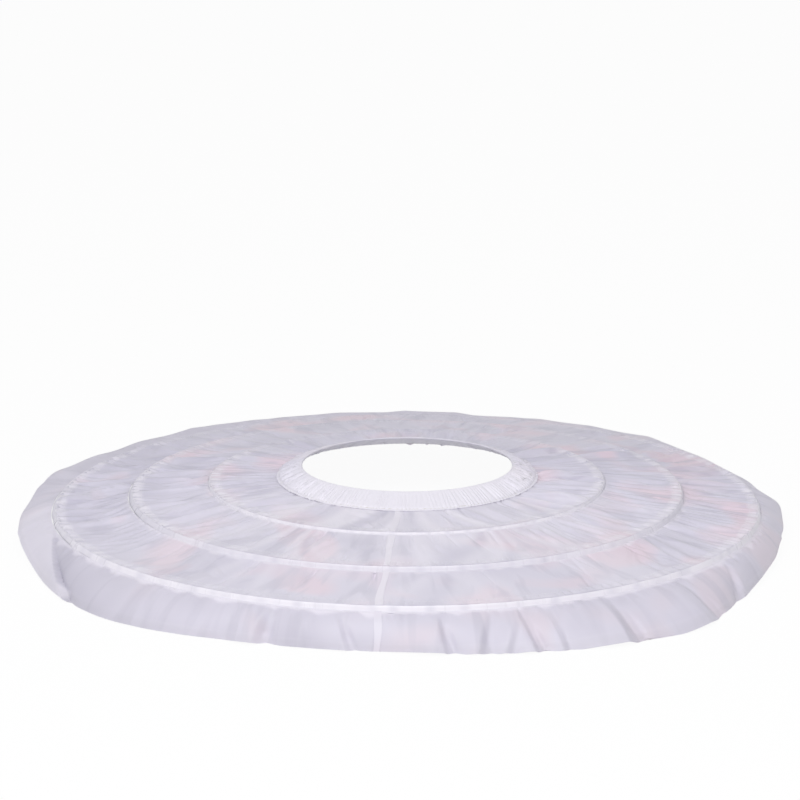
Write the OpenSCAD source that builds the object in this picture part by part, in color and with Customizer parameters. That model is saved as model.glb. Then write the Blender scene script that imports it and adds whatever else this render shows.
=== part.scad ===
// Three-hoop petticoat: a gathered cloth disc on three boned hoops, with an elastic waist and a hem flounce.
// Millimetres, +Z up. The origin is the centre of the waist opening, halfway up the fold that grips the waist.
// The front is toward -Y, and the hoops are closed at the back.

/* [Waist] */
// Radius of the waist opening
waist_r = 129; // [115:1:145]
// Slope of the waistband below the horizontal, in degrees
waist_slope = 26; // [15:1:35]
// Width of the elastic
elastic_w = 30; // [20:1:36]
// Thickness of the elastic
elastic_t = 1.5; // [1:0.1:2.5]
// Width of the sewn margin below the elastic
band_margin = 3; // [2:0.5:6]
// Number of ruched folds round the waistband
ruche_count = 84; // [60:1:90]
// Height of a ruched fold
ruche_h = 1.3; // [0.6:0.1:2]

/* [Hoops] */
// Radius of the inner hoop
inner_hoop_r = 240; // [215:1:270]
// Distance from the inner to the middle hoop
middle_step = 95; // [70:1:120]
// Distance from the middle to the outer hoop
outer_step = 93; // [70:1:120]
// Depth of the inner hoop's seam below the waist
inner_drop = 23.5; // [15:0.5:32]
// Fall from the inner to the middle hoop
middle_fall = 11; // [4:0.5:20]
// Fall from the middle to the outer hoop
outer_fall = 15; // [6:0.5:24]
// Height of the flat boning, which stands on edge
strip_h = 6; // [4:0.5:9]
// Thickness of the boning
strip_t = 1.2; // [0.8:0.1:2]
// Gap between the two ends of a hoop
strip_gap = 2; // [1:0.5:6]
// Length of the sleeve that joins the ends
joiner_l = 40; // [30:1:60]
// Wall of the sleeve
joiner_wall = 0.5; // [0.4:0.1:1]

/* [Casings] */
// Width of a casing
casing_w = 13; // [10:0.5:16]
// Depth of a casing below its seam
casing_base = 2.6; // [2:0.1:4]
// Height of the sewn edge above the seam
casing_edge = 2; // [1.5:0.1:3]
// Length of the slit where a hoop or the elastic goes in
slit_l = 26; // [20:1:28]
// Width of that slit
slit_w = 4; // [3:0.5:6]

/* [Cloth] */
// Thickness of the cloth
cloth_t = 0.8; // [0.6:0.1:1]
// Sag of a tier between its seams
tier_sag = 2; // [0:0.5:5]
// Number of gathers in the inner tier
inner_gathers = 44; // [36:1:50]
// Number of gathers in the middle tier
middle_gathers = 56; // [48:1:62]
// Number of gathers in the outer tier
outer_gathers = 70; // [60:1:76]
// Height of a gather
gather_h = 3; // [1:0.1:3.5]
// Width of the lapped seam down the front
lap_w = 9; // [6:0.5:12]
// Direction of the lapped seam, in degrees round from +X
lap_angle = 266; // [255:1:285]

/* [Flounce] */
// Reach of the flounce beyond the outer casing
flounce_reach = 31; // [20:1:40]
// Extra reach of the flounce at the two sides
flounce_spread = 6; // [0:0.5:10]
// Fall of the flounce below the outer seam
flounce_fall = 34.5; // [26:0.5:44]
// Rise of the hem round the back, where the flounce stands out
flounce_rise = 32; // [0:1:34]
// Depth of the folds at the hem
fold_depth = 9; // [3:0.5:11]
// Width of the turned hem
hem_w = 6; // [4:0.5:9]
// Number of columns of cloth round the flounce
flounce_columns = 148; // [120:4:152]

/* [Fit] */
// Clearance round the boning, the sleeves and the elastic
fit_gap = 0.15; // [0.1:0.05:0.3]
// Clearance between sewn edges
seam_gap = 0.2; // [0.15:0.05:0.3]

/* [Hidden] */
$fn = 180;
white = [0.90, 0.89, 0.93];
tape = [0.94, 0.93, 0.96];
ivory = [0.88, 0.87, 0.84];
steel = [0.66, 0.67, 0.69];

// Hoops, each set from the one inside it
middle_hoop_r = inner_hoop_r + middle_step;
outer_hoop_r = middle_hoop_r + outer_step;
middle_drop = inner_drop + middle_fall;
outer_drop = middle_drop + outer_fall;

// Waistband, along its slope from the waist
elastic_room = elastic_t / 2 + fit_gap;
band_half = elastic_room + cloth_t;
band_edge = band_half / cos(waist_slope);
elastic_start = elastic_room * tan(waist_slope) + cloth_t / cos(waist_slope) + fit_gap;
band_l = elastic_start + elastic_w + fit_gap + band_margin;
band_r = waist_r + band_l * cos(waist_slope);
band_z = -band_l * sin(waist_slope);

// Inside of a casing, measured from its seam
joiner_room_h = strip_h + 2 * fit_gap;
joiner_h = joiner_room_h + 2 * joiner_wall;
joiner_room_t = strip_t + 2 * fit_gap;
joiner_t = joiner_room_t + 2 * joiner_wall;
floor_z = cloth_t - casing_base;
strip_z = floor_z + fit_gap + joiner_h / 2;
crown_z = floor_z + joiner_h + 4 * fit_gap;

// Edges of the tiers
casing_half = casing_w / 2;
edge = casing_half + seam_gap;

// Slope of the flounce at the hem, in degrees, where it hangs and where it stands out furthest
flounce_turn = 68;
flounce_least = 6;

// Directions between which the hem rises, in degrees from the front, on the left and on the right
rise_left = [76, 100];
rise_right = [70, 134];

// A point of the waistband, u along its slope and v square to it
function band(u, v) = [waist_r + u * cos(waist_slope) + v * sin(waist_slope),
                       v * cos(waist_slope) - u * sin(waist_slope)];

// Half-width of the lapped seam as an angle at radius r
function lap_half(r) = asin(lap_w / 2 / r);
function lap_side(r) = lap_half(r) + asin(0.6 / r);

// Directions of the columns round a sheet: four for the lapped seam, then the gathers
function columns(count, r, seed) =
    let(jog = rands(-0.3, 0.3, count, seed),
        run = 360 - 2 * lap_side(r),
        step = run / (count - 3))
    [for (j = [0 : count - 1])
        lap_angle + (j == 0 ? -lap_side(r)
                   : j == 1 ? -lap_half(r)
                   : j == 2 ? lap_half(r)
                   : j == 3 ? lap_side(r)
                   : lap_side(r) + step * (j - 3 + jog[j]))];

// Radius of the corners of an inner edge whose straight sides stay clear of radius r
function clear_r(r, count) = (r + seam_gap) / cos(0.8 * 360 / (count - 3));

// Heights of the gathers, crest and valley in turn, level at the lapped seam
function gathers(count, seed) =
    let(size = rands(0.3, 1, count, seed))
    [for (j = [0 : count - 1]) j < 4 ? 0 : (j % 2 == 0 ? 1 : -1) * size[j]];

// Extra cloth at the lapped seam
function lap(j) = j == 1 || j == 2 ? cloth_t : 0;

// Loose folds of the flounce, from -1 to 1
function folds(a) = 0.45 * sin(23 * a + 46 * sin(3 * a + 20))
                  + 0.25 * sin(14 * a + 60 * sin(2 * a + 70))
                  + 0.3 * sin(36 * a + 50 * sin(5 * a));

// How far the hem has risen in one direction, from 0 to 1
function from_front(a) = (a + 270) % 360 - 180;
function ease(x) = let(s = max(0, min(1, x))) s * s * (3 - 2 * s);
function risen(a) = let(f = from_front(a), band = f < 0 ? rise_left : rise_right)
    ease((abs(f) - band[0]) / (band[1] - band[0]));

function around(r, a, z) = [r * cos(a), r * sin(a), z];

// A closed sheet of cloth round the axis, from rows of points on its upper and under face
module ring_sheet(upper, under) {
    rows = len(upper);
    count = len(upper[0]);
    total = rows * count;
    function top(i, j) = i * count + j % count;
    function low(i, j) = total + top(i, j);
    faces = [
        for (j = [0 : count - 1]) each [
            for (i = [0 : rows - 2]) each [
                [top(i, j), top(i + 1, j + 1), top(i + 1, j)],
                [top(i, j), top(i, j + 1), top(i + 1, j + 1)],
                [low(i, j), low(i + 1, j), low(i + 1, j + 1)],
                [low(i, j), low(i + 1, j + 1), low(i, j + 1)]
            ],
            [top(0, j), low(0, j), low(0, j + 1)],
            [top(0, j), low(0, j + 1), top(0, j + 1)],
            [top(rows - 1, j), low(rows - 1, j + 1), low(rows - 1, j)],
            [top(rows - 1, j), top(rows - 1, j + 1), low(rows - 1, j + 1)]
        ]
    ];
    points = concat([for (row = upper) each row], [for (row = under) each row]);
    polyhedron(points, faces, convexity = 6);
}

// One tier of gathered cloth between two sewn edges
module tier(sewn_r, from_z, to_r, to_z, count, seed) {
    from_r = clear_r(sewn_r, count);
    turn = columns(count, (from_r + to_r) / 2, seed);
    high = gathers(count, seed + 1);
    fade = rands(0.2, 1, count, seed + 2);
    run = [0, 0.3, 0.72, 1];
    full = [0.5, 1, 0.9, 0.5];
    function mid(i, j) = from_z + (to_z - from_z) * run[i] - tier_sag * 4 * run[i] * (1 - run[i])
                       + gather_h * full[i] * high[j] * (i < 2 ? 1 : fade[j]);
    function row(i, j, z) = around(from_r + (to_r - from_r) * run[i], turn[j], mid(i, j) + z);
    ring_sheet([for (i = [0 : 3]) [for (j = [0 : count - 1]) row(i, j, cloth_t / 2 + lap(j))]],
               [for (i = [0 : 3]) [for (j = [0 : count - 1]) row(i, j, -cloth_t / 2)]]);
}

// Section of a casing, or of the room inside it, measured from the seam
module casing_section(half, low, top) {
    polygon(concat([[-half, low], [half, low]],
                   [for (a = [0 : 15 : 180]) [half * cos(a), casing_edge + (top - casing_edge) * sin(a)]]));
}

// A sewn tube of cloth round one hoop, with a slit under the back for the boning
module casing(r, z) {
    turn = slit_l / r * 180 / PI;
    difference() {
        translate([0, 0, z])
            rotate_extrude()
                translate([r, 0])
                    casing_section(casing_half, -casing_base, crown_z + cloth_t);
        translate([0, 0, z])
            rotate_extrude()
                translate([r, 0])
                    casing_section(casing_half - cloth_t, floor_z, crown_z);
        translate([0, 0, z])
            rotate([0, 0, 90 - turn / 2])
                rotate_extrude(angle = turn)
                    translate([r - slit_w / 2, -casing_base - 1])
                        square([slit_w, cloth_t + 2]);
    }
}

// A hoop of flat boning on edge, its ends left apart at the back
module hoop(r, z) {
    difference() {
        translate([0, 0, z + strip_z - strip_h / 2])
            rotate_extrude()
                translate([r - strip_t / 2, 0])
                    square([strip_t, strip_h]);
        translate([-strip_gap / 2, r - 10, z - 20])
            cube([strip_gap, 20, 40]);
    }
}

// A sleeve round the two ends of a hoop
module joiner(r, z) {
    turn = joiner_l / r * 180 / PI;
    translate([0, 0, z + strip_z])
        rotate([0, 0, 90 - turn / 2])
            rotate_extrude(angle = turn)
                translate([r, 0])
                    difference() {
                        square([joiner_t, joiner_h], center = true);
                        square([joiner_room_t, joiner_room_h], center = true);
                    }
}

// One ruched fold on the upper face of the waistband
module ruche(a) {
    half = PI * waist_r / ruche_count * 0.88;
    start = 1;
    finish = band_l - (band_half + ruche_h) * tan(waist_slope) - 0.7;
    rotate([0, 0, a])
        translate([waist_r, 0, 0])
            rotate([0, 90 + waist_slope, 0])
                translate([0, 0, start])
                    linear_extrude(finish - start)
                        polygon(concat([[0.5 - band_half, half], [0.5 - band_half, -half]],
                                       [for (k = [-3 : 3]) [-band_half - ruche_h * (1 - k * k / 9), half * k / 3]]));
}

module waist_casing() {
    turn = slit_l / waist_r * 180 / PI;
    color(tape)
        difference() {
            union() {
                rotate_extrude()
                    polygon([[waist_r, -band_edge], [band_r, band_z - band_edge],
                             [band_r, band_z + band_edge], [waist_r, band_edge]]);
                for (k = [0 : ruche_count - 1])
                    ruche(k * 360 / ruche_count);
            }
            rotate_extrude()
                polygon([band(elastic_start - fit_gap, -elastic_room),
                         band(elastic_start + elastic_w + fit_gap, -elastic_room),
                         band(elastic_start + elastic_w + fit_gap, elastic_room),
                         band(elastic_start - fit_gap, elastic_room)]);
            rotate([0, 0, 90 - turn / 2])
                rotate_extrude(angle = turn)
                    polygon([band(elastic_start + elastic_w / 2 - slit_w / 2, -band_half - 1),
                             band(elastic_start + elastic_w / 2 + slit_w / 2, -band_half - 1),
                             band(elastic_start + elastic_w / 2 + slit_w / 2, 0),
                             band(elastic_start + elastic_w / 2 - slit_w / 2, 0)]);
        }
}

module waist_elastic() {
    color(ivory)
        rotate_extrude()
            polygon([band(elastic_start, -elastic_t / 2), band(elastic_start + elastic_w, -elastic_t / 2),
                     band(elastic_start + elastic_w, elastic_t / 2), band(elastic_start, elastic_t / 2)]);
}

module inner_tier() {
    color(white)
        tier(band_r, band_z, inner_hoop_r - edge, -inner_drop, 2 * inner_gathers, 11);
}

module middle_tier() {
    color(white)
        tier(inner_hoop_r + casing_half, -inner_drop, middle_hoop_r - edge, -middle_drop, 2 * middle_gathers, 23);
}

module outer_tier() {
    color(white)
        tier(middle_hoop_r + casing_half, -middle_drop, outer_hoop_r - edge, -outer_drop, 2 * outer_gathers, 37);
}

module inner_casing() {
    color(tape) casing(inner_hoop_r, -inner_drop);
}

module middle_casing() {
    color(tape) casing(middle_hoop_r, -middle_drop);
}

module outer_casing() {
    color(tape) casing(outer_hoop_r, -outer_drop);
}

module inner_hoop() {
    color(steel) hoop(inner_hoop_r, -inner_drop);
}

module middle_hoop() {
    color(steel) hoop(middle_hoop_r, -middle_drop);
}

module outer_hoop() {
    color(steel) hoop(outer_hoop_r, -outer_drop);
}

module inner_joiner() {
    color(steel) joiner(inner_hoop_r, -inner_drop);
}

module middle_joiner() {
    color(steel) joiner(middle_hoop_r, -middle_drop);
}

module outer_joiner() {
    color(steel) joiner(outer_hoop_r, -outer_drop);
}

// The free frill below the outer hoop, level along its turned hem at the front and standing out round the back
module hem_flounce() {
    count = flounce_columns;
    flounce_r = clear_r(outer_hoop_r + casing_half, count);
    turn = columns(count, flounce_r + flounce_reach / 2, 51);
    high = gathers(count, 52);
    hem_start = 1 - hem_w / norm([flounce_reach, flounce_fall]);
    run = [0, 0.2, 0.45, 0.68, hem_start, hem_start + 0.01, 1];
    thick = [1, 1, 1, 1, 1, 2, 2] * cloth_t / 2;
    stand = [for (a = turn) risen(a)];
    lean = [for (up = stand) max(flounce_least, flounce_turn * (1 - up * flounce_rise / flounce_fall))];
    function reach(j) = flounce_reach + flounce_spread * (sin(turn[j]) < 0 ? cos(2 * turn[j]) : 1);
    function fall(j) = flounce_fall - flounce_rise * stand[j];
    function out(i, j) = sin(lean[j] * run[i]);
    function down(i, j) = cos(lean[j] * run[i]);
    crease = [0.5, 0.8, 0.7, 0.45, 0.2, 0.2, 0.1] * gather_h;
    function deep(i, j) = fold_depth * pow(run[i], 1.3) * folds(turn[j]) + crease[i] * high[j];
    function aside(i, j) = i == 6 ? 1 - stand[j] * (1 - out(i, j)) : out(i, j);
    function above(i, j) = i == 6 ? stand[j] * down(i, j) : down(i, j);
    function row(i, j, v) = let(d = deep(i, j) + v)
        around(flounce_r + reach(j) * out(i, j) / sin(lean[j]) + d * aside(i, j), turn[j],
               -outer_drop - fall(j) * (1 - down(i, j)) / (1 - cos(lean[j])) + d * above(i, j));
    color(white)
        ring_sheet([for (i = [0 : 6]) [for (j = [0 : count - 1]) row(i, j, thick[i] + lap(j))]],
                   [for (i = [0 : 6]) [for (j = [0 : count - 1]) row(i, j, -thick[i])]]);
}

waist_casing();
waist_elastic();
inner_tier();
inner_casing();
inner_hoop();
inner_joiner();
middle_tier();
middle_casing();
middle_hoop();
middle_joiner();
outer_tier();
outer_casing();
outer_hoop();
outer_joiner();
hem_flounce();
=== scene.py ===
# Three-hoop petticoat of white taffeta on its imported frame. Metres, +Z up, the front toward -Y.
import math

import bpy
import numpy as np
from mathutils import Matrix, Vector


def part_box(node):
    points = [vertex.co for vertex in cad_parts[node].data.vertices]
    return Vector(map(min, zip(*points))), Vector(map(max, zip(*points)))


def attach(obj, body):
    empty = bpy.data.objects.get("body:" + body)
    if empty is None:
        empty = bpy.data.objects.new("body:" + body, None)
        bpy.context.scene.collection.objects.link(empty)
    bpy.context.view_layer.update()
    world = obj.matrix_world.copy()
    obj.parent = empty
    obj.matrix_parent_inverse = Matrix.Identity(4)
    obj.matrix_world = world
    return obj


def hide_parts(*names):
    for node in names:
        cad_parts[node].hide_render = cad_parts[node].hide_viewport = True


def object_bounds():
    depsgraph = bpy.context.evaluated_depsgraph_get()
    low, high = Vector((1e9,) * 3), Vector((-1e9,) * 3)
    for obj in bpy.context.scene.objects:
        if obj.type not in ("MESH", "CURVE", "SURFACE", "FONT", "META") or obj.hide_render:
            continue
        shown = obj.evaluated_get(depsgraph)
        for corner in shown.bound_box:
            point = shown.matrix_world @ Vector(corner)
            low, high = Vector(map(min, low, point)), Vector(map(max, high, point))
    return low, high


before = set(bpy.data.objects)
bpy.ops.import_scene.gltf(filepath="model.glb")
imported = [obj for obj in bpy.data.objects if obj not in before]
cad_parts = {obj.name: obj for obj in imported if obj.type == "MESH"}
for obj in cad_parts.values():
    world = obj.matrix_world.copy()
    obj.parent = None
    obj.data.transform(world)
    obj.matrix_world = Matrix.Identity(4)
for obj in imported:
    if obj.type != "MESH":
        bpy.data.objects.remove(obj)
cad_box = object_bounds()
bpy.ops.object.select_all(action="DESELECT")

# Camera: in front of the petticoat and above it, with a long lens,
# so that the skirt shows as a wide flat oval.
camera_place = (0, -2.9616, 0.787)
camera_dip = 13.417
camera_turn = 0.170
camera_lens = 112.07
bpy.ops.object.camera_add(
    location=camera_place,
    rotation=(math.radians(90 - camera_dip), 0, math.radians(camera_turn)),
)
camera = bpy.context.object
camera.data.lens = camera_lens
bpy.context.scene.camera = camera

# Floor and light: a wide sheet of white paper under the hem, an even white room,
# and one long soft lamp high above the front, a little to the left.
bpy.context.scene.view_settings.view_transform = "Standard"
floor_size = 60
floor_glow = 0.95
lamp_size = (3.6, 1.4)
lamp_place = (-0.25, -1.7, 2.2)
lamp_power = 52
room_light = 0.45


def linear(code):
    """The linear colour of an sRGB hex code."""
    parts = [int(code[k:k + 2], 16) / 255 for k in (1, 3, 5)]
    return [p / 12.92 if p <= 0.04045 else ((p + 0.055) / 1.055) ** 2.4 for p in parts] + [1]


def add(tree, kind, inputs=None, **settings):
    """A shader node with its settings, its inputs given as values or as links."""
    made = tree.nodes.new("ShaderNode" + kind)
    for key, value in settings.items():
        setattr(made, key, value)
    for key, value in (inputs or {}).items():
        if isinstance(value, bpy.types.NodeSocket):
            tree.links.new(value, made.inputs[key])
        else:
            made.inputs[key].default_value = value
    return made


def new_material(name):
    """A material with nodes, its tree, its principled shader and its output."""
    material = bpy.data.materials.new(name)
    material.use_nodes = True
    tree = material.node_tree
    return material, tree, tree.nodes["Principled BSDF"], tree.nodes["Material Output"]


def seen_by_eye(tree):
    """1 for what the eye sees straight, in a mirror or through glass, else 0."""
    path = add(tree, "LightPath")
    mirrored = add(tree, "Math", {0: path.outputs["Is Camera Ray"], 1: path.outputs["Is Glossy Ray"]},
                   operation="MAXIMUM")
    return add(tree, "Math", {0: mirrored.outputs[0], 1: path.outputs["Is Transmission Ray"]},
               operation="MAXIMUM").outputs[0]


bpy.ops.mesh.primitive_plane_add(size=floor_size, location=(0, 0, cad_box[0][2]))
floor = bpy.context.object
floor.name = "floor"
# Matt white paper: even and bright, and it still takes a soft shadow.
paper, tree, shader, output = new_material("matt_paper")
shader.inputs["Base Color"].default_value = linear("#FAFAFC")
shader.inputs["Roughness"].default_value = 0.9
glow = add(tree, "Emission", {"Color": (1, 1, 1, 1), "Strength": 1.0})
share = add(tree, "Math", {0: seen_by_eye(tree), 1: floor_glow}, operation="MULTIPLY")
mixed = add(tree, "MixShader", {0: share.outputs[0], 1: shader.outputs[0], 2: glow.outputs[0]})
tree.links.new(mixed.outputs[0], output.inputs["Surface"])
floor.data.materials.append(paper)

room = bpy.data.worlds.new("white_room")
bpy.context.scene.world = room
room.use_nodes = True
tree = room.node_tree
lit = tree.nodes["Background"]
lit.inputs["Color"].default_value = (1, 1, 1, 1)
lit.inputs["Strength"].default_value = room_light
plain = add(tree, "Background", {"Color": (1, 1, 1, 1), "Strength": 1.0})
mixed = add(tree, "MixShader", {0: seen_by_eye(tree), 1: lit.outputs[0], 2: plain.outputs[0]})
tree.links.new(mixed.outputs[0], tree.nodes["World Output"].inputs["Surface"])

bpy.ops.object.light_add(type="AREA", location=lamp_place)
lamp = bpy.context.object
lamp.name = "soft_lamp"
lamp.data.shape = "RECTANGLE"
lamp.data.size, lamp.data.size_y = lamp_size
lamp.data.energy = lamp_power
lamp.rotation_euler = lamp.location.to_track_quat("Z", "Y").to_euler()

# Hoops and joiners: a flat strip of coated spring steel bent to a ring and stood on edge,
# its two ends pushed into a short folded sleeve at the back of each casing.
hoop_names = ["inner", "middle", "outer"]
strip_thick = 0.0012
hoop_r = {name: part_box(name + "_hoop")[1].x - strip_thick / 2 for name in hoop_names}

# Spring steel in a white plastic coat: smooth and half glossy, with faint draw marks along the strip.
boning, tree, shader, output = new_material("white_coated_spring_steel")
place = add(tree, "TexCoord").outputs["Object"]
# Draw marks are about 0.1 mm apart, drawn here at 0.6 mm.
streak_pitch = 0.0006
stretch = add(tree, "Mapping", {"Vector": place, "Scale": (12, 12, 1 / streak_pitch)})
streaks = add(tree, "TexNoise", {"Vector": stretch.outputs[0], "Scale": 1.0, "Detail": 4.0})
tones = add(tree, "ValToRGB", {0: streaks.outputs["Fac"]})
tones.color_ramp.elements[0].color = linear("#E4E4E6")
tones.color_ramp.elements[1].color = linear("#EEEEEF")
tree.links.new(tones.outputs[0], shader.inputs["Base Color"])
shader.inputs["Roughness"].default_value = 0.38
relief = add(tree, "Bump", {"Height": streaks.outputs["Fac"], "Strength": 0.15, "Distance": 0.0002})
tree.links.new(relief.outputs[0], shader.inputs["Normal"])

# Tinplate sleeve: brighter than the boning, with soft dull patches where it was pressed.
tinplate, tree, shader, output = new_material("pressed_tinplate")
place = add(tree, "TexCoord").outputs["Object"]
patch_size = 0.004
patches = add(tree, "TexNoise", {"Vector": place, "Scale": 1 / patch_size, "Detail": 3.0})
tones = add(tree, "ValToRGB", {0: patches.outputs["Fac"]})
tones.color_ramp.elements[0].color = linear("#B4B6B8")
tones.color_ramp.elements[1].color = linear("#D2D3D4")
dull = add(tree, "MapRange", {0: patches.outputs["Fac"], 3: 0.24, 4: 0.42})
tree.links.new(tones.outputs[0], shader.inputs["Base Color"])
tree.links.new(dull.outputs[0], shader.inputs["Roughness"])
shader.inputs["Metallic"].default_value = 1.0

for name in hoop_names:
    for part, finish in (("_hoop", boning), ("_joiner", tinplate)):
        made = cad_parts[name + part]
        made.data.materials.clear()
        made.data.materials.append(finish)

# Waist elastic: a band of woven elastic, ribbed along its length,
# lying loose inside the folded waistband.
rib_pitch = 0.0016
waist_slope = math.radians(26)
# Woven elastic: off-white, dull, with a rounded rib every 1.6 mm. Its colour is darker between the ribs:
# painted shade in the grooves.
elastic, tree, shader, output = new_material("woven_elastic")
place = add(tree, "TexCoord").outputs["Object"]
height = add(tree, "SeparateXYZ", {0: place}).outputs["Z"]
ribs_per_height = 2 * math.pi / (rib_pitch * math.sin(waist_slope))
rib = add(tree, "Math", {0: height, 1: ribs_per_height}, operation="MULTIPLY")
wave = add(tree, "Math", {0: rib.outputs[0]}, operation="SINE")
tones = add(tree, "MapRange", {0: wave.outputs[0], 1: -1.0, 2: 1.0})
mixed = add(tree, "Mix", {0: tones.outputs[0], 6: linear("#CFCCC4"), 7: linear("#E6E3DC")}, data_type="RGBA")
tree.links.new(mixed.outputs[2], shader.inputs["Base Color"])
shader.inputs["Roughness"].default_value = 0.85
relief = add(tree, "Bump", {"Height": tones.outputs[0], "Strength": 0.6, "Distance": 0.0003})
tree.links.new(relief.outputs[0], shader.inputs["Normal"])
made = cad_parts["waist_elastic"]
made.data.materials.clear()
made.data.materials.append(elastic)

# Casings: three narrow strips of the same taffeta, doubled, sewn down along both edges
# to make a tube round each hoop, with a slit under the back where the boning goes in.
cloth_thick = 0.00035
casing_base = 0.0026
casing_flange = 0.0002
casing_crown = 0.0031
casing_steepness = 3.6
casing_sway = 0.0002
beneath_flat = 0.7
flank_spread_sides = 0.55
flank_spread_left = 0.3
# Painted highlight and painted light: the casings, the seams beside them and the waistband are drawn whiter
# toward the front, most at the front and least at the back, and the middle casing less.
least_front_highlight = 0.2
front_highlight_start = 0.05
front_highlight_rise = 0.7
highlight_contrast = 1.5
face_highlight = {"inner": 1, "middle": 0.75, "outer": 1}
slit_length = 0.026
slit_half = 0.002
casing_pitch = 0.0028
cloud_size = 0.1
streak_size = (0.009, 0.06)
shade_patch_size = (0.024, 0.09)
thread_pitch = 0.0009
pink_fade = (-0.22, -0.34)
twist_length = 0.0008
stitch_size = (0.0013, 0.00024, 0.0002)


def flank_spread(turn):
    """How much wider the outer flank of a casing lies than at the front: most at the left side."""
    return 1 + (flank_spread_sides - flank_spread_left * np.cos(turn)) * np.cos(turn) ** 2


def ridge(x, top, turn):
    """Height of a casing above its seam, at a distance from the hoop and in a direction."""
    crown = casing_crown * np.where(x > 0, flank_spread(turn), 1)
    return casing_flange + (top - casing_flange) * np.exp(-np.abs(x / crown) ** casing_steepness)


def round_axis(columns):
    """Directions of the columns of a sheet round the axis, in radians from +X."""
    return np.arange(columns) * 2 * math.pi / columns


def wander(turn, seed, slow, fast, waves=40):
    """A seeded irregular wave round the axis, of about unit size, with slow to fast turns in it."""
    draw = np.random.default_rng(seed)
    counts = draw.integers(slow, fast + 1, waves)
    starts = draw.uniform(0, 2 * math.pi, waves)
    sizes = draw.uniform(0.3, 1, waves)
    mean_square = 0.23
    total = np.zeros_like(turn)
    for count, start, size in zip(counts, starts, sizes):
        total += size * np.sin(count * turn + start)
    return total / math.sqrt(mean_square * waves)


def front_highlight_share(turn):
    """Share of painted highlight and painted light in a direction: most at the front, least at the back."""
    return least_front_highlight + (1 - least_front_highlight) * np.clip((front_highlight_start - np.sin(turn)) / front_highlight_rise, 0, 1)


def cloth(name, points, closed=False, ring=True, doubled_and_painted_light=None, hole=None):
    """A sheet from rows of points, with its UV map in metres and, at each point, how much whiter it is drawn:
    where it lies double, and where painted light and painted highlight are laid on.
    """
    rows, columns = points.shape[:2]
    wide = columns if ring else columns - 1
    i, j = np.meshgrid(np.arange(rows if closed else rows - 1), np.arange(wide), indexing="ij")
    i, j = i.ravel(), j.ravel()
    if hole is not None:
        kept = ~hole(i, j)
        i, j = i[kept], j[kept]
    down, along = (i + 1) % rows, (j + 1) % columns
    quads = np.stack([i * columns + j, down * columns + j, down * columns + along, i * columns + along], 1)
    mesh = bpy.data.meshes.new(name)
    mesh.from_pydata(points.reshape(-1, 3).tolist(), [], quads.tolist())
    steps = np.linalg.norm(np.diff(points[:, 0], axis=0), axis=1)
    depth = np.concatenate([[0], np.cumsum(steps), [steps.sum() + steps.mean()]])
    pitch = np.linalg.norm(points[:, 1] - points[:, 0], axis=1).mean()
    across = np.stack([j, j, j + 1, j + 1], 1) * pitch
    lengthways = np.stack([depth[i], depth[i + 1], depth[i + 1], depth[i]], 1)
    mesh.uv_layers.new(name="cut").data.foreach_set("uv", np.stack([across, lengthways], 2).ravel())
    # Whiteness where the cloth lies double, and painted light and painted highlight.
    doubled = mesh.attributes.new("doubled_and_painted_light", "FLOAT", "POINT")
    doubled.data.foreach_set("value", (np.zeros(points.shape[:2]) if doubled_and_painted_light is None else doubled_and_painted_light).ravel())
    piece = bpy.data.objects.new(name, mesh)
    bpy.context.scene.collection.objects.link(piece)
    return piece


def thicken(piece, thick=cloth_thick):
    """Give a sheet its thickness on the under side, and smooth it."""
    wall = piece.modifiers.new("thickness", "SOLIDIFY")
    wall.thickness = thick
    wall.offset = -1
    bpy.context.view_layer.objects.active = piece
    bpy.ops.object.modifier_apply(modifier=wall.name)
    piece.data.shade_smooth()
    piece.data.set_sharp_from_angle(angle=math.radians(80))


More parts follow.
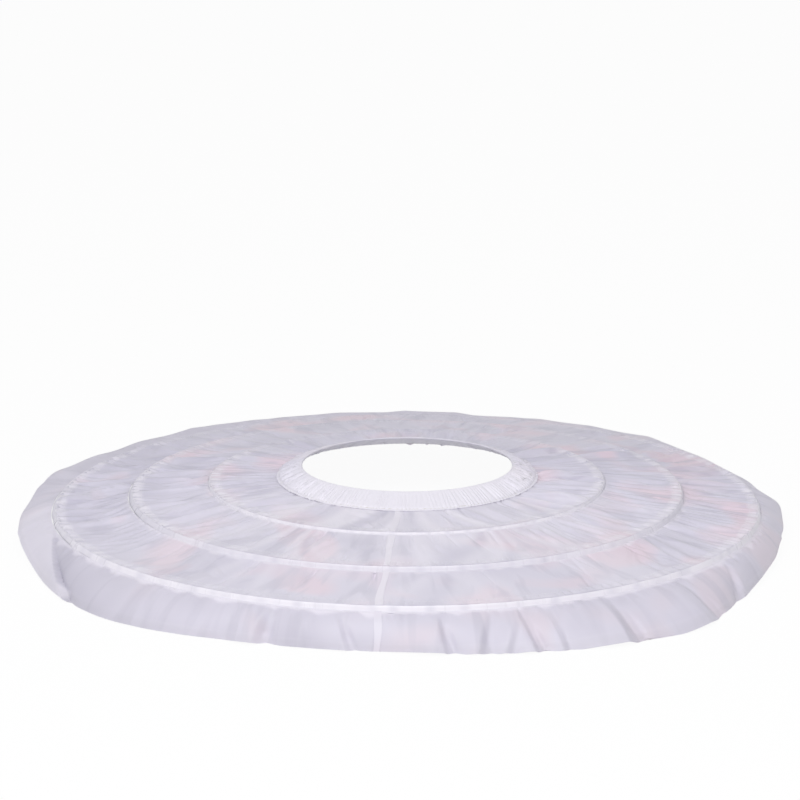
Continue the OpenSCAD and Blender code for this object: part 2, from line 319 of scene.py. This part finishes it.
def taffeta(name, tones, through, rough, crinkled=0.1):
    """Polyester taffeta: thin, crisp and close-woven, with a soft silky shine, cloudy, faintly pink patches
    and greyer patches of painted shade. It is drawn whiter where it lies double, and where painted light and
    painted highlight are laid on."""
    material, tree, shader, output = new_material(name)
    place = add(tree, "TexCoord")
    # Cloudy patches about 100 mm across, and streaks along the gathers, 9 mm by 60 mm.
    clouds = add(tree, "TexNoise", {"Vector": place.outputs["Object"], "Scale": 1 / cloud_size, "Detail": 1.5,
                                    "Roughness": 0.5, "Distortion": 0.4})
    grain = add(tree, "Mapping", {"Vector": place.outputs["UV"],
                                  "Scale": (1 / streak_size[0], 1 / streak_size[1], 1)})
    streaks = add(tree, "TexNoise", {"Vector": grain.outputs[0], "Scale": 1.0, "Detail": 3.0})
    # The pink fades out over the left side, from 0.22 m to 0.34 m out.
    across = add(tree, "SeparateXYZ", {0: place.outputs["Object"]}).outputs["X"]
    fading = add(tree, "MapRange", {0: across, 1: pink_fade[0], 2: pink_fade[1], 3: 0.0, 4: 0.12})
    kept = add(tree, "Math", {0: clouds.outputs["Fac"], 1: fading.outputs[0]}, operation="SUBTRACT")
    cloudy = add(tree, "ValToRGB", {0: kept.outputs[0]})
    ramp = cloudy.color_ramp
    ramp.elements[0].position = 0.28
    ramp.elements[0].color = linear(tones[0])
    ramp.elements[1].position = 0.64
    ramp.elements[1].color = linear(tones[2])
    ramp.elements.new(0.5).color = linear(tones[1])
    # Painted shade: greyer patches that run along the gathers, about 24 mm by 90 mm, standing for shade where
    # the cloth hangs clear below.
    shade_grain = add(tree, "Mapping", {"Vector": place.outputs["UV"],
                                 "Scale": (1 / shade_patch_size[0], 1 / shade_patch_size[1], 1)})
    patches = add(tree, "TexNoise", {"Vector": shade_grain.outputs[0], "Scale": 1.0, "Detail": 2.0,
                                     "Distortion": 0.6})
    painted_shade = add(tree, "MapRange", {0: patches.outputs["Fac"], 1: 0.5, 2: 0.65, 3: 0.0, 4: 0.5})
    with_painted_shade = add(tree, "Mix", {0: painted_shade.outputs[0], 6: cloudy.outputs[0], 7: linear(tones[3])},
                  data_type="RGBA")
    # Drawn whiter where the cloth lies double, and where painted light and painted highlight are laid on.
    doubled = add(tree, "Attribute", attribute_name="doubled_and_painted_light")
    colour = add(tree, "Mix", {0: doubled.outputs["Fac"], 6: with_painted_shade.outputs[2], 7: linear("#FAF7FF")},
                 data_type="RGBA")
    tree.links.new(colour.outputs[2], shader.inputs["Base Color"])
    # The threads are 0.2 mm apart, drawn here at 0.9 mm.
    threads = add(tree, "Mapping", {"Vector": place.outputs["UV"],
                                    "Scale": (1 / thread_pitch, 1 / thread_pitch, 1)})
    weave = add(tree, "TexChecker", {"Vector": threads.outputs[0], "Scale": 1.0})
    crinkle = add(tree, "Bump", {"Height": streaks.outputs["Fac"], "Strength": crinkled, "Distance": 0.0012})
    relief = add(tree, "Bump", {"Height": weave.outputs["Fac"], "Strength": 0.12, "Distance": 0.00008,
                                "Normal": crinkle.outputs[0]})
    tree.links.new(relief.outputs[0], shader.inputs["Normal"])
    uneven = add(tree, "MapRange", {0: streaks.outputs["Fac"], 3: rough - 0.06, 4: rough + 0.08})
    tree.links.new(uneven.outputs[0], shader.inputs["Roughness"])
    shader.inputs["IOR"].default_value = 1.5
    shader.inputs["Sheen Weight"].default_value = 0.2
    shader.inputs["Sheen Roughness"].default_value = 0.4
    backlit = add(tree, "BsdfTranslucent", {"Color": colour.outputs[2], "Normal": relief.outputs[0]})
    mixed = add(tree, "MixShader", {0: through, 1: shader.outputs[0], 2: backlit.outputs[0]})
    tree.links.new(mixed.outputs[0], output.inputs["Surface"])
    return material


# Polyester sewing thread: bright white with a faint twist across it.
thread, tree, shader, output = new_material("polyester_thread")
place = add(tree, "TexCoord").outputs["Object"]
# The twist is 0.3 mm long, drawn here at 0.8 mm.
twist = add(tree, "TexNoise", {"Vector": place, "Scale": 1 / twist_length, "Detail": 2.0})
tones = add(tree, "ValToRGB", {0: twist.outputs["Fac"]})
tones.color_ramp.elements[0].color = linear("#EAE8F0")
tones.color_ramp.elements[1].color = linear("#F8F7FB")
tree.links.new(tones.outputs[0], shader.inputs["Base Color"])
shader.inputs["Roughness"].default_value = 0.45
shader.inputs["Sheen Weight"].default_value = 0.2


def stitch_row(name, path, every=1):
    """A row of machine stitches lying on a closed path of points: one stitch modelled, then repeated."""
    bpy.ops.object.select_all(action="DESELECT")
    bpy.ops.mesh.primitive_uv_sphere_add(segments=6, ring_count=4, radius=1, scale=stitch_size)
    one = bpy.context.object
    bpy.ops.object.transform_apply(location=False, rotation=False, scale=True)
    shape = np.array([corner.co for corner in one.data.vertices])
    faces = [list(face.vertices) for face in one.data.polygons]
    bpy.data.meshes.remove(one.data)
    start = path[::every][:len(path) // every]
    ahead = np.roll(path, -2, axis=0)[::every][:len(path) // every]
    along = (ahead - start) / np.linalg.norm(ahead - start, axis=1, keepdims=True)
    side = np.cross((0, 0, 1), along)
    up = np.cross(along, side)
    corners = ((start + ahead) / 2)[:, None] + np.einsum("vk,skj->svj", shape, np.stack([along, side, up], 1))
    mesh = bpy.data.meshes.new(name)
    quads = [[corner + number * len(shape) for corner in face]
             for number in range(len(start)) for face in faces]
    mesh.from_pydata(corners.reshape(-1, 3).tolist(), [], quads)
    mesh.shade_smooth()
    row = bpy.data.objects.new(name, mesh)
    bpy.context.scene.collection.objects.link(row)
    row.data.materials.append(thread)
    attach(row, "root")
    return row


single_taffeta = taffeta("white_taffeta", ["#DDDAE8", "#E5E2EF", "#EDDFEA", "#CCC9D9"], 0.2, 0.4)
# Hanging cloth: darker tones, lifted by painted light where light comes through, and left darker as painted
# shade beyond the flap's fold.
hanging_taffeta = taffeta("hanging_white_taffeta", ["#D9D6E3", "#E1DEEA", "#E5DDE7", "#CDCAD8"], 0.28, 0.4)
# Casing cloth: darker tones than the tiers, as painted shade on the casing flanks at the sides.
casing_taffeta = taffeta("casing_taffeta", ["#D6D3E2", "#DBD8E7", "#DED9E5", "#D7D4E3"], 0.1, 0.28,
                         crinkled=0.02)
doubled_taffeta = taffeta("doubled_white_taffeta", ["#E2DFED", "#E8E5F2", "#EBE6F1", "#DAD7E6"], 0.1, 0.34)

seam = {}
for number, name in enumerate(hoop_names):
    low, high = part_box(name + "_casing")
    r, z = hoop_r[name], low.z + casing_base
    half, top = high.x - r, high.z - z
    seam[name] = (r, z, top)
    columns = round(2 * math.pi * r / casing_pitch)
    turn = round_axis(columns)
    flank = np.array([0.12, 0.24, 0.32, 0.4, 0.48, 0.56, 0.66, 0.8, 1])
    across = half * np.concatenate([-flank[::-1], [0], flank])
    over = ridge(across[:, None], top, turn)
    beneath = np.array([beneath_flat * half, slit_half, 0, -slit_half, -beneath_flat * half])
    under = -casing_flange - (casing_base - casing_flange) * (1 - np.abs(beneath / half) ** 3)
    x = np.concatenate([across, beneath])[:, None]
    rise = np.concatenate([over, under[:, None] + 0 * turn])
    sway = casing_sway * wander(turn, 80 + number, 20, 60)
    radius = r + x + sway * (rise > 0)
    points = np.stack([radius * np.cos(turn), radius * np.sin(turn), z + rise], 2)
    back = np.abs(turn + math.pi / columns - math.pi / 2) * r < slit_length / 2
    opened = [len(across) + 1, len(across) + 2]
    # Painted highlight on the outer face of each casing, strongest at the front and least at the back.
    uneven = np.clip(0.9 + 0.12 * wander(turn, 84 + number, 20, 160), 0, 1)
    painted_highlight = face_highlight[name] * (x > 0) * (rise > 0) * uneven * front_highlight_share(turn) ** highlight_contrast
    piece = cloth(name + "_casing_tube", points, closed=True, doubled_and_painted_light=painted_highlight,
                  hole=lambda i, j: np.isin(i, opened) & back[j])
    thicken(piece)
    piece.data.materials.append(casing_taffeta)
    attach(piece, "root")
    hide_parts(name + "_casing")

# Waistband: a straight strip of taffeta folded over the elastic and sewn below it,
# drawn up by the elastic into fine close pleats, with a small frill under the stitching.
waist_r = 0.129
band_length = 0.0346
band_stitch = 0.0319
band_half = 0.0012
band_pinch_start = 0.029
band_pinch_half = 0.0004
band_front_light = 0.72
band_cloth_thick = 0.0003
pleats = 190
pleat_columns = 7
pleat_height = 0.0017
pleat_front = 0.45
pleat_sides = 1.5
pleat_drift = (0.9, 0.5)
pleat_lean = 0.9
pleat_crumple = 0.3
stitched_row = -4
columns = pleats * pleat_columns
turn = round_axis(columns)
folded = np.linspace(-math.pi / 2, math.pi / 2, 7)
outward = np.array([3, 6, 9, 13, 17, 21, 25, 28, 30, 31.2, 31.9, 32.6, 33.4, 34.6]) / 1000
down = np.concatenate([outward[::-2], band_half * (1 - np.cos(folded)), outward])
side = np.concatenate([-np.ones(len(outward[::-2])), np.sin(folded), np.ones(len(outward))])
pinched = np.clip((down - band_pinch_start) / (band_stitch - band_pinch_start), 0, 1)
gap = band_half * (1 - pinched) + band_pinch_half * pinched
fullness = np.interp(down, [0, 0.002, 0.007, 0.025, 0.0305, band_stitch, band_length],
                     [0.1, 0.25, 0.8, 1, 0.7, 0.15, 0.55])
drift = (wander(turn, 5, 3, 12) * pleat_drift[0] + wander(turn, 6, 20, 50) * pleat_drift[1])[None, :]
lean = (wander(turn, 7, 4, 30) * pleat_lean)[None, :] * (down[:, None] / band_length)
crest = np.abs(np.cos((pleats * turn[None, :]) / 2 + drift + lean))
uneven = np.clip(0.75 + 0.22 * wander(turn, 8, 15, 70), 0.35, 1.15)[None, :]
drawn_up = pleat_front + pleat_sides * np.cos(turn[None, :]) ** 2
leaning = wander(turn[None, :] + 9 * down[:, None], 9, 30, 160)
crossing = wander(turn[None, :] - 14 * down[:, None], 10, 10, 60)
crumpled = 1 + pleat_crumple * leaning * crossing
crest = crest * np.clip(crumpled, 0.3, 1.6)
lift = pleat_height * fullness[:, None] * crest * uneven * drawn_up * np.where(side[:, None] > 0, 1, 0.5)
offset = side[:, None] * (gap[:, None] + lift)
radius = waist_r + down[:, None] * math.cos(waist_slope) + offset * math.sin(waist_slope)
height = offset * math.cos(waist_slope) - down[:, None] * math.sin(waist_slope) + 0 * turn[None, :]
points = np.stack([radius * np.cos(turn), radius * np.sin(turn), height], 2)
# Painted light: the waistband is drawn whiter toward the front, least at the back.
waistband = cloth("waistband", points, doubled_and_painted_light=band_front_light * front_highlight_share(turn)[None, :] + 0 * height)
thicken(waistband, band_cloth_thick)
waistband.data.materials.append(doubled_taffeta)
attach(waistband, "root")
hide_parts("waist_casing")
band_stitches = stitch_row("waistband_stitches", points[stitched_row], 3)
band_r = waist_r + band_length * math.cos(waist_slope)
band_z = -band_length * math.sin(waist_slope)

# Tiers: three rings of taffeta cut fuller than the seams that hold them and gathered into these seams,
# so that creases run from them and die away. Their ends overlap in a lapped seam down the front.
tuck = 0.001
tier_sizes = {"inner": (480, 24), "middle": (600, 26), "outer": (740, 26)}
fullness_inside = 1.02
fullness_outside = 1.008
crowding = (0.055, 0.02)
crest_end = 0.03
seam_drop = {"inner": 0.5, "middle": 0.9, "outer": 0.92}
seam_lift = 1.4
topstitch = 0.012
pucker_height = 0.0005
pucker_reach = 0.011
# Painted light on the tiers: whiter toward the front and, at the two sides, over the cloth beside each
# casing. The doubled seams outside a casing also carry painted highlight toward the front.
tier_front_light = {"inner": 0.5, "middle": 0.37, "outer": 0.25}
side_seam_light = 0.55
seam_white_and_highlight = 0.85
seam_unevenness = 0.4
patch_unevenness = 0.45
patch_slant = 1.6
white_reach = {"inner": 0.001, "middle": 0.0035, "outer": 0.0055}
cut_unevenness = 0.0014
crease_count = {"inner": 70, "middle": 98, "outer": 120}
crease_depth = (0.0012, 0.0028)
crease_half = (0.0018, 0.0038)
crease_length = (0.3, 0.9)
crease_ease = 0.05
crease_crowding = 0.3
crease_inward = 0.35
crease_lean = 0.06
wrinkle_depth = 0.0022
cut_skew = 0.05
wrinkle_skew = 0.1
sewn_by = 14
settled_by = 24
lap_turn = math.radians(266)
lap_width = 0.0075
lap_rise = 0.0005
lap_whiteness = {"tier": 0.85, "flounce": 0.5}


def gather(cut, worn):
    """Draw the first and last row of a cut sheet in to where they are sewn; the cloth between follows."""
    rows, columns = cut.shape[:2]
    scene = bpy.context.scene
    piece = cloth("gathering", cut)
    piece.shape_key_add(name="cut")
    sewing = piece.shape_key_add(name="worn")
    sewing.data.foreach_set("co", worn.astype(np.float32).ravel())
    edge = np.concatenate([np.arange(columns), np.arange(columns) + (rows - 1) * columns])
    piece.vertex_groups.new(name="sewn").add(edge.tolist(), 1.0, "REPLACE")
    drape = piece.modifiers.new("drape", "CLOTH")
    drape.collision_settings.use_collision = False
    drape.point_cache.frame_start = 1
    drape.point_cache.frame_end = settled_by + 2
    set_up = drape.settings
    set_up.vertex_group_mass = "sewn"
    set_up.quality = 5
    set_up.mass = 0.05
    set_up.tension_stiffness = 20
    set_up.compression_stiffness = 20
    set_up.shear_stiffness = 8
    set_up.bending_stiffness = 0.5
    set_up.bending_damping = 0.1
    set_up.effector_weights.gravity = 0.3
    for value, step in ((0, 1), (1, sewn_by)):
        sewing.value = value
        sewing.keyframe_insert("value", frame=step)
    for step in range(1, settled_by + 1):
        scene.frame_set(step)
    settled = piece.evaluated_get(bpy.context.evaluated_depsgraph_get()).data
    points = np.zeros(rows * columns * 3, np.float32)
    settled.vertices.foreach_get("co", points)
    mesh = piece.data
    bpy.data.actions.remove(mesh.shape_keys.animation_data.action)
    bpy.data.objects.remove(piece)
    bpy.data.meshes.remove(mesh)
    scene.frame_set(1)
    return points.reshape(rows, columns, 3).astype(float)


def between(points):
    """A ring of cloth with a new column of points between each two, on a smooth curve through them."""
    before, after, beyond = (np.roll(points, shift, axis=1) for shift in (1, -1, -2))
    middle = (9 * (points + after) - before - beyond) / 16
    return np.stack([points, middle], 2).reshape(len(points), -1, 3)


def press_creases(points, turn, run, slant, count, seed):
    """Press narrow creases into a ring of cloth, more of them at the two sides.
    Most run outward from the inner seam, the rest inward from the stitches beside the outer casing."""
    draw = np.random.default_rng(seed)
    radius = np.hypot(points[:, :, 0], points[:, :, 1])
    for place in draw.uniform(0, 2 * math.pi, count):
        at = place - crease_crowding * math.sin(2 * place)
        depth = draw.uniform(*crease_depth)
        half = draw.uniform(*crease_half)
        lean = draw.uniform(-1, 1) * crease_lean
        off = ((turn - at - lean * run + math.pi) % (2 * math.pi) - math.pi) * radius
        start = run
        if draw.uniform() < crease_inward:
            start = np.clip(1 - run - topstitch / slant, 0, 1)
        along = np.clip(1 - start / draw.uniform(*crease_length), 0, 1) ** 0.6
        along = along * np.minimum(start / crease_ease, 1)
        points[:, :, 2] -= depth * np.maximum(1 - np.abs(off) / half, 0) * along


def normals_of(points, ring=True):
    """Unit normals of a sheet of points."""
    down = np.gradient(points, axis=0)
    if ring:
        along = np.roll(points, -1, axis=1) - np.roll(points, 1, axis=1)
    else:
        along = np.gradient(points, axis=1)
    normal = np.cross(down, along)
    return normal / np.linalg.norm(normal, axis=2, keepdims=True)


def lap_over(name, points, whiteness):
    """The narrow doubled strip where the two ends of a ring of cloth overlap, down the front."""
    columns = points.shape[1]
    radius = np.linalg.norm(points[:, :, :2], axis=2).mean(1)
    stray = np.sin(np.linspace(0, 5, len(points)) + radius[0] * 40)[:, None]
    strips = (np.linspace(-1, 1, 9) * (1 + 0.15 * stray[::-1]) / 2 + 0.12 * stray) * lap_width
    places = np.unwrap(np.arctan2(points[0, :, 1], points[0, :, 0]))
    spots = np.interp(lap_turn + strips / radius[:, None], places, np.arange(columns))
    left = np.floor(spots).astype(int)
    share = (spots - left)[:, :, None]
    row = np.arange(len(points))[:, None]
    strip = points[row, left % columns] * (1 - share) + points[row, (left + 1) % columns] * share
    strip = strip + normals_of(strip, ring=False) * lap_rise
    lap = cloth(name + "_lap", strip, ring=False, doubled_and_painted_light=np.full(strip.shape[:2], whiteness))
    thicken(lap)
    lap.data.materials.append(single_taffeta)
    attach(lap, "root")
    return lap


def on_casing(name, drop, turn):
    """Radius and height of a seam on the outer face of a casing, at a share of the drop from its crest."""
    r, z, top = seam[name]
    x = casing_crown * flank_spread(turn) * (-math.log(1 - drop)) ** (1 / casing_steepness)
    return r + x, z + ridge(x, top, turn) + seam_lift * cloth_thick


def doubled_seam_and_highlight(casing, distance, turn, seed):
    """Whiteness of the doubled cloth outside a casing, which ends in an uneven line, with painted highlight
    that is strongest at the front.
    """
    uneven = np.clip(1 + seam_unevenness * wander(turn, seed, 12, 120), 0.3, 2.2)
    within = np.exp(-(distance / (white_reach[casing] * uneven)) ** 4)
    return seam_white_and_highlight * face_highlight[casing] * front_highlight_share(turn) * within


def tier_painted_light(name, outside, turn, seed):
    """Painted light on a tier: whiter toward the front, and at the two sides over the cloth beside its
    casing.
    """
    uneven = np.clip(1 + patch_unevenness * wander(turn, seed, 40, 200), 0, 2)
    over = side_seam_light * np.cos(turn) ** 2 * uneven * np.exp(-(outside / topstitch) ** 6)
    slanted = turn + patch_slant * outside * wander(turn[0], seed + 3, 4, 14)[None, :]
    patchy = np.clip(1 + patch_unevenness * wander(slanted, seed + 6, 12, 60), 0.2, 1.6)
    return tier_front_light[name] * patchy * np.clip(-np.sin(turn), 0, 1) + over


for number, name in enumerate(hoop_names):
    columns, rows = tier_sizes[name]
    turn, run = np.meshgrid(round_axis(columns), np.linspace(0, 1, rows))
    sewn = turn - crowding[0] / 2 * np.sin(2 * turn) - crowding[1] / 4 * np.sin(4 * turn)
    if number:
        edge_r, z0 = on_casing(hoop_names[number - 1], seam_drop[hoop_names[number - 1]], sewn)
    else:
        edge_r, z0 = band_r - tuck + 0 * sewn, band_z + cloth_thick + 0 * sewn
    rim_r, z1 = on_casing(name, crest_end, sewn)
    radius = edge_r + (rim_r - edge_r) * run
    worn = np.stack([radius * np.cos(sewn), radius * np.sin(sewn), z0 + (z1 - z0) * run], 2)
    r0, r1, z0, z1 = (values.mean() for values in (edge_r, rim_r, z0, z1))
    full = r0 * fullness_inside + (r1 * fullness_outside - r0 * fullness_inside) * run
    slant = math.hypot(r1 - r0, z1 - z0)
    fall = math.sqrt(max(slant ** 2 - (r1 * fullness_outside - r0 * fullness_inside) ** 2, 1e-8))
    skew = cut_skew * wander(turn[0], 30 + number, 2, 9)[None, :] * (run - 0.5)
    bumps = cut_unevenness * wander(turn + skew, 40 + number, 25, 60, 40) * np.sin(math.pi * run) ** 0.5
    slanted = turn + wrinkle_skew * wander(turn[0], 50 + number, 2, 7)[None, :] * (run - 0.5)
    bumps += wrinkle_depth * wander(slanted, 54 + number, 10, 40, 30) * np.sin(math.pi * run) ** 0.7
    cut = np.stack([full * np.cos(turn), full * np.sin(turn), z0 - fall * run + bumps], 2)
    points = gather(cut, worn)
    points = between(points)
    turn, run = np.meshgrid(round_axis(2 * columns), np.linspace(0, 1, rows))
    press_creases(points, turn, run, slant, crease_count[name], 74 + number)
    outside = (1 - run) * slant
    puckers = pucker_height * wander(turn, 70 + number, 200, 380, 80)
    points[:, :, 2] += puckers * np.exp(-(outside / pucker_reach) ** 4) * (run < 1)
    whiter = tier_painted_light(name, outside, turn, 100 + number)
    if number:
        whiter = np.maximum(whiter, doubled_seam_and_highlight(hoop_names[number - 1], run * slant, turn, 90 + number))
    tier = cloth(name + "_tier_cloth", points, doubled_and_painted_light=whiter)
    thicken(tier)
    tier.data.materials.append(single_taffeta)
    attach(tier, "root")
    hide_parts(name + "_tier")
    stitched = points[rows - 1 - round(topstitch / slant * (rows - 1))]
    sewing = stitch_row(name + "_tier_stitches", stitched + (0, 0, cloth_thick / 3), 2)
    lap_over(name + "_tier", points, lap_whiteness["tier"])

# Hem flounce: a free frill of taffeta sewn to the outer casing. It hangs in flat faces between creases
# at the front, stands out round the back, and ends in a narrow turned hem.
flounce_columns = 1440
flounce_rows = 20
flounce_bulge = math.radians(24)
bulge_fall = 0.036
bulge_share = 0.52
gather_height = 0.0004
pinch_deepest = 0.7
hem_width = 0.006
hem_wave = 0.0007
hem_lift = 0.001
hem_fold = 0.0006
hem_doubled = 0.0011
hem_whiteness = 0.1
flap_whiteness = 0.6
flap_fold = (-73, 20)
flap_end = 94
flap_fade = 8
hang_whiteness = 0.2
shaded_width = 12
# The hem in some directions: degrees from the front toward the right,
# radius in mm and height above the floor in mm.
hem_line = [(-180, 470, 34), (-140, 468, 36), (-125, 470, 31), (-105, 471, 37), (-97, 472, 29),
            (-91, 475, 19), (-85, 476, 16), (-80, 476, 14), (-75, 474, 13), (-70, 472, 7), (-66, 471, 3),
            (-53, 482, 0), (-43, 487, 0), (-32, 475, 0), (-25, 464, 0), (0, 463, 0), (7, 474, 0),
            (12, 478, 0), (20, 487, 0), (28, 496, 0), (37, 502, 0), (46, 490, 0), (54, 468, 0),
            (60, 464, 4), (68, 460, 8), (75, 457, 11), (84, 460, 14), (90, 464, 16), (96, 467, 19),
            (108, 469, 14), (120, 470, 22), (135, 469, 31), (180, 470, 34)]
# Creases: degrees from the front at the hem, step of the hem in mm, and in degrees how wide
# the steep face is, how far the fold runs along the hem, and how far the crease leans at the top.
creases = [(-100, -1.5, 3, 6, 0), (-80, 1.5, 2, 6, 0), (-52.5, 4, 1.4, 12, -20), (-38, 1, 1.5, 5, 0),
           (-24, -2, 1.5, 4, 0), (-20, 6, 1.8, 5, 1), (-14, 2.5, 1, 4, 0), (-7.5, 3, 1.2, 4, -2),
           (5.5, 5, 1.4, 4, -1), (10, 5, 1.8, 4, 2), (13, 3.5, 1, 3, 3), (17, 6, 1.6, 4, -1.2),
           (20.5, 3, 1, 4, -1), (30, 6, 3.2, 8, -1), (44, 6, 5, 8, -2), (53, -3, 2, 6, 3),
           (80, 1.5, 2, 6, 0)]
# Pinched folds, deep and dark, that widen toward the hem: degrees from the front, depth in mm,
# half-width at the hem in degrees, and lean.
pinches = [(-52, 3, 1.4, -20), (-20, 6.5, 1.8, 1), (-7.5, 4, 1.3, -2), (5.5, 5, 1.5, -1), (10, 4, 1.6, 2),
           (17, 5.5, 1.8, -1.2), (30.5, 5, 2.2, -1), (45, 5.5, 2.4, -2), (53, 4, 1.6, 3)]
draw = np.random.default_rng(64)
creases += [(at, step, 3, 8, 0) for at, step in zip(range(110, 256, 12), draw.uniform(-1.2, 1.2, 12))]
floor_z = cad_box[0][2]
turn, run = np.meshgrid(round_axis(flounce_columns), np.linspace(0, 1, flounce_rows))
start_r, start_z = on_casing("outer", seam_drop["outer"], turn)
from_front = (np.degrees(turn) - 270 + 180) % 360 - 180
directions, radii, heights = np.array(hem_line).T


def along_hem(values):
    """A value given in mm in some directions, in metres all round the hem, eased over a few degrees."""
    shifts = (-3, -1.5, 0, 1.5, 3)
    near = [np.interp((from_front + shift + 180) % 360 - 180, directions, values) for shift in shifts]
    return sum(near) / (1000 * len(shifts))


hem_r = along_hem(radii)
lifted = hem_lift * (0.8 + 0.5 * wander(turn, 62, 6, 24)).clip(0, 2)
hem_z = floor_z + cloth_thick + along_hem(heights) + lifted
reach, fall = hem_r - start_r, start_z - hem_z
chord = np.hypot(reach, fall)
first = np.arctan2(fall, reach) - flounce_bulge * np.clip(fall / bulge_fall, 0.15, 1)
control_r = start_r + bulge_share * chord * np.cos(first)
control_z = start_z - bulge_share * chord * np.sin(first)
radius = (1 - run) ** 2 * start_r + 2 * run * (1 - run) * control_r + run ** 2 * hem_r
height = (1 - run) ** 2 * start_z + 2 * run * (1 - run) * control_z + run ** 2 * hem_z
out = (1 - run) * (control_r - start_r) + run * (hem_r - control_r)
down = (1 - run) * (start_z - control_z) + run * (control_z - hem_z)
fold = hem_wave * wander(turn, 61, 8, 36)
for at, step, steep, along, lean in creases:
    off = (from_front - at - lean * (1 - run) + 180) % 360 - 180
    beyond = np.maximum(np.abs(off) - steep / 2, 0) / along
    fold -= step / 1000 * np.clip(2 * off / steep, -1, 1) * np.maximum(1 - beyond, 0) ** 1.5
pinched = np.zeros_like(turn)
deep = np.minimum(run / pinch_deepest, 1)
deep = deep - 0.6 * np.clip((run - pinch_deepest) / (1 - pinch_deepest), 0, 1)
for at, depth, half, lean in pinches:
    off = (from_front - at - lean * (1 - run) + 180) % 360 - 180
    pinched += depth / 1000 * deep * np.maximum(1 - np.abs(off) / (half * (0.25 + 0.75 * run)), 0)
gathered = gather_height * wander(turn, 63, 90, 240, 80)
gathered = gathered * np.exp(-((run - 0.13) / 0.1) ** 2) * np.minimum(run / 0.1, 1)
fold = fold * run ** 0.8 + gathered - pinched
radius += fold * down / np.hypot(out, down)
height += fold * out / np.hypot(out, down)
height = np.maximum(height, floor_z + cloth_thick)
points = np.stack([radius * np.cos(turn), radius * np.sin(turn), height], 2)
slant = np.linalg.norm(np.diff(points, axis=0), axis=2).sum(0)
hem_rows = max(2, round(hem_width / slant.mean() * (flounce_rows - 1)))
inward = normals_of(points) * -1
turned = [points[-1] + inward[-1] * hem_fold]
for back in range(1, hem_rows + 1):
    turned.append(points[-1 - back] + inward[-1 - back] * hem_doubled)
turned = np.stack(turned)
turned[:, :, 2] = np.maximum(turned[:, :, 2], floor_z + cloth_thick)
# Light comes through where the cloth hangs clear: most in the flap at the left, as far as its slanting
# fold, and least just beyond that fold, where the flounce lies against what is under it.
past_fold = from_front - (flap_fold[0] + flap_fold[1] * run)
flap = np.clip(-past_fold, 0, 1) * np.clip((from_front + flap_end) / flap_fade, 0, 1)
shaded = np.clip(past_fold + 1, 0, 1) * np.exp(-(np.maximum(past_fold, 0) / shaded_width) ** 3)
lit_through = np.maximum(flap_whiteness * flap, hang_whiteness * (1 - shaded))
whiter = np.maximum(doubled_seam_and_highlight("outer", run * slant, turn, 95), lit_through)
doubled_and_painted_light = np.tile(hem_whiteness + lit_through[-1], (flounce_rows + hem_rows + 1, 1))
doubled_and_painted_light[:flounce_rows - 1 - hem_rows] = whiter[:flounce_rows - 1 - hem_rows]
flounce = cloth("flounce", np.concatenate([points, turned]), doubled_and_painted_light=doubled_and_painted_light)
thicken(flounce)
flounce.data.materials.append(hanging_taffeta)
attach(flounce, "root")
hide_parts("hem_flounce")
sewing = stitch_row("flounce_stitches", points[1] + (0, 0, cloth_thick / 3), 2)
lap_over("flounce", points, lap_whiteness["flounce"])
